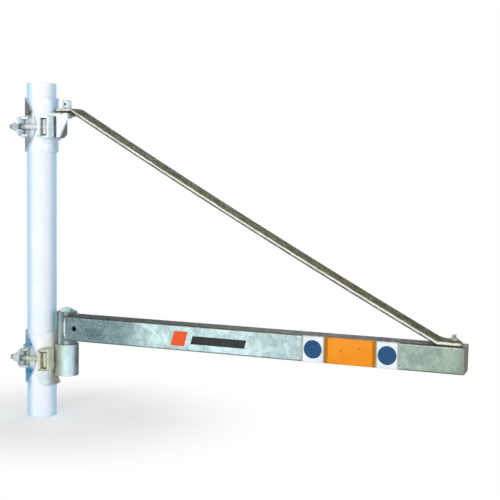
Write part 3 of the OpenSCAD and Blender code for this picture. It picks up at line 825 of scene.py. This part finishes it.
def weld_clamps(finish):
    """Beads round the pole, over and under each clamp's base."""
    reach, start, end = 27.7 * MM, -42, 62
    for name in ("upper", "lower"):
        low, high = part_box(name + "_base")
        for side, z in (("top", high.z), ("foot", low.z)):
            weld(f"{name}_{side}_seam", arc((0, 0), reach, start, end, z), 1.3 * MM, "post", finish)


def weld_socket(finish):
    """Upright beads where the socket meets the lower clamp's base."""
    low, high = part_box("lower_base")
    x, half_gap, margin = 31.6 * MM, 9.6 * MM, 2 * MM
    for side, sign in SIDES:
        line = [Vector((x, sign * half_gap, z)) for z in (low.z + margin, high.z - margin)]
        weld(f"socket_seam_{side}", line, 2.6 * MM, "post", finish)


def weld_bracket(pad_finish, finish):
    """Beads of the upper bracket: pad, shelf and rib."""
    low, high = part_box("bracket_pad")
    # The pad seams take the pad's finish, painted dark as shade.
    for side, x, y, radius in (("near", 35.2, -18.9, 1.3), ("far", 25.4, 18.8, 2.2)):
        line = [Vector((x * MM, y * MM, z)) for z in (low.z + 8 * MM, high.z - 1 * MM)]
        weld(f"pad_seam_{side}", line, radius * MM, "post", pad_finish)
    shelf_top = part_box("bracket_shelf")[1].z
    weld("shelf_seam", arc((0, 0), 27.9 * MM, -34, 34, shelf_top), 1.4 * MM, "post", finish)
    low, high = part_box("bracket_gusset")
    rib_top = [Vector((x, high.y, high.z)) for x in (low.x + 1 * MM, high.x - 2 * MM)]
    weld("rib_top_seam", rib_top, 1.3 * MM, "post", finish)
    rib_back = [Vector((low.x, high.y, z)) for z in (low.z + 1 * MM, high.z - 1 * MM)]
    weld("rib_back_seam", rib_back, 1.3 * MM, "post", finish)


def weld_pivot(bead, finish):
    """Beads of the lower pivot: beam to tube on both sides, over and under it, and round the spigot's rim."""
    low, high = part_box("beam")
    tube_low, tube_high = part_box("pivot_tube")
    tube_r = (tube_high.x - tube_low.x) / 2
    pivot = (middle("socket", "x"), 0)
    bends = ((low.x + 4.5 * MM, low.z + 2 * MM), (low.x + 1.2 * MM, low.z + 6 * MM),
             (low.x + 0.2 * MM, low.z + 14 * MM), (low.x + 0.2 * MM, high.z - 5 * MM),
             (low.x + 1.8 * MM, high.z - 1.5 * MM))
    for side, sign in SIDES:
        y = sign * (high.y - 1.4 * MM)
        weld(f"pivot_seam_{side}", [Vector((x, y, z)) for x, z in bends], 2.1 * MM, "jib", bead)
    for name, z in (("top", high.z), ("foot", low.z)):
        weld(f"pivot_seam_{name}", arc(pivot, tube_r + 0.4 * MM, -66, 66, z), 1.9 * MM, "jib", finish)
    rim = arc(pivot, 13.6 * MM, 0, 360, tube_high.z, 48)
    weld("spigot_seam", rim, 1.2 * MM, "jib", finish, closed=True)


def add_welds(finishes):
    """Fillet beads where the welded pieces meet."""
    bead = zinc_finish("bead_zinc", srgb(222, 234, 236), srgb(190, 206, 208), TOP_SHADE, 0.2, colour_spots=(
        # Both ends of the bead darkened to the tube's grey: painted shade.
        ((52, -20, 134), (12, 9, 9), srgb(112, 120, 108), 0.9),
        ((50, -20, 170), (12, 9, 11), srgb(112, 122, 116), 0.9)))
    weld_clamps(finishes["upper_base"])
    weld_socket(finishes["lower_base"])
    weld_bracket(finishes["bracket_pad"], finishes["upper_base"])
    weld_pivot(bead, finishes["pivot_tube"])


# ---------------------------------------------------------------- threads

def add_threads(finish):
    """Threads on the clamp bolts and on the tip bolt, sized from the shanks themselves."""
    clamp_pitch, tip_pitch, tip_radius, clear_end = 1.25 * MM, 1.0 * MM, 3 * MM, 1.2 * MM
    for name in ("upper", "lower"):
        low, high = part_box(name + "_t_bolt")
        nut = name + "_nut"
        shank_r = (high.y - low.y) / 2 - 0.5 * MM
        start = (low.x + clear_end, middle(nut, "y"), middle(nut, "z"))
        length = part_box(nut)[1].x - start[0] + 10 * MM
        thread(name + "_thread", start, (1, 0, 0), length, shank_r, clamp_pitch, "post", finish)
    start = (middle("tip_bolt", "x"), 0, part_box("tip_nut")[1].z)
    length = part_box("tip_bolt")[1].z - clear_end - start[2]
    thread("tip_thread", start, (0, 0, 1), length, tip_radius, tip_pitch, "jib", finish)


# ---------------------------------------------------------------- films on the beam

def beam_section(lift):
    """Points up the beam's near side, following its round corners, a little off the steel."""
    low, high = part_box("beam")
    corner = 3 * MM
    steps = 6
    points = []
    for centre, start, end in ((low.z + corner, 250, 180), (high.z - corner, 180, 110)):
        for i in range(steps + 1):
            a = math.radians(start + (end - start) * i / steps)
            y = low.y + corner + (corner + lift) * math.cos(a)
            points.append((y, centre + (corner + lift) * math.sin(a)))
    return points


def add_film(name, points, faces, finish, thickness, smooth=False):
    """Film on the beam, with its thickness laid inwards from the given surface."""
    piece = add_mesh(name, points, faces, finish, "jib", smooth)
    solid = piece.modifiers.new("thickness", "SOLIDIFY")
    solid.thickness = thickness
    solid.offset = -1


def wrap(name, x0, x1, lift, finish):
    """Printed film round the near side of the beam, between two stations."""
    section = beam_section(lift)
    columns = 12
    points = []
    for i in range(columns + 1):
        x = x0 + (x1 - x0) * i / columns
        points += [(x, y, z) for y, z in section]
    rows = len(section)
    faces = [(i * rows + k, (i + 1) * rows + k, (i + 1) * rows + k + 1, i * rows + k + 1)
             for i in range(columns) for k in range(rows - 1)]
    add_film(name, points, faces, finish, 0.12 * MM, smooth=True)


def disc(name, x, z, radius, lift, finish):
    """Round film on the beam's near face."""
    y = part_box("beam")[0].y - lift
    steps = 64
    ring = [(x + radius * math.cos(a), y, z + radius * math.sin(a))
            for a in (2 * math.pi * i / steps for i in range(steps))]
    add_film(name, ring, [tuple(range(steps))], finish, 0.1 * MM)


def slanted(name, x0, x1, z0, z1, lean, lift, finish):
    """Plain slanted bar of film on the beam's near face."""
    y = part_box("beam")[0].y - lift
    columns = 8
    points = [(x0 + (x1 - lean - x0) * i / columns + (lean if z == z1 else 0), y, z)
              for z in (z0, z1) for i in range(columns + 1)]
    wide = columns + 1
    faces = [(i, i + 1, wide + i + 1, wide + i) for i in range(columns)]
    add_film(name, points, faces, finish, 0.1 * MM)


# Stations of the printed panel along the beam: a white square, the orange field and a white square.
PANEL_START, ORANGE_START, ORANGE_END, PANEL_END = (mm * MM for mm in (460.5, 496, 574, 608))


def add_panel():
    """Orange panel with two dirt specks, between two white squares."""
    near_face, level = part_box("beam")[0].y, middle("beam", "z")
    speck_radius = 1.5 * MM
    specks = (((521 * MM, near_face, level + 1.6 * MM), speck_radius),
              ((548.6 * MM, near_face, level + 6.4 * MM), speck_radius))
    white = sticker_finish("white_film", srgb(236, 242, 246), srgb(206, 214, 216))
    orange = sticker_finish("orange_film", srgb(240, 146, 0), srgb(230, 134, 4), specks)
    wrap("white_film_left", PANEL_START, ORANGE_START, 0.15 * MM, white)
    wrap("white_film_right", ORANGE_END, PANEL_END, 0.15 * MM, white)
    wrap("orange_film", ORANGE_START, ORANGE_END, 0.16 * MM, orange)


def add_stripe():
    """Plain slanted two-tone stripe between the pivot and the panel."""
    lift = 0.2 * MM
    red = sticker_finish("red_film", srgb(226, 66, 34), srgb(244, 120, 40))
    black = sticker_finish("black_film", srgb(34, 34, 36), srgb(58, 60, 62))
    slanted("red_stripe", 245 * MM, 274 * MM, 140 * MM, 163 * MM, 6 * MM, lift, red)
    slanted("black_stripe", 279 * MM, 372 * MM, 144 * MM, 157 * MM, 3.4 * MM, lift, black)


def add_discs():
    """Plain blue discs on the two white squares."""
    blue = sticker_finish("blue_film", srgb(10, 76, 122), srgb(8, 60, 98))
    left, right = (PANEL_START + ORANGE_START) / 2 - 0.3 * MM, (ORANGE_END + PANEL_END) / 2
    for side, x in (("left", left), ("right", right)):
        disc(f"blue_disc_{side}", x, middle("beam", "z"), 14 * MM, 0.3 * MM, blue)


bpy.context.scene.view_settings.view_transform = "Standard"
aim_camera()
light_studio()
lay_floor()
finishes = dress_nodes()
add_welds(finishes)
add_threads(finishes["tip_bolt"])
add_panel()
add_stripe()
add_discs()
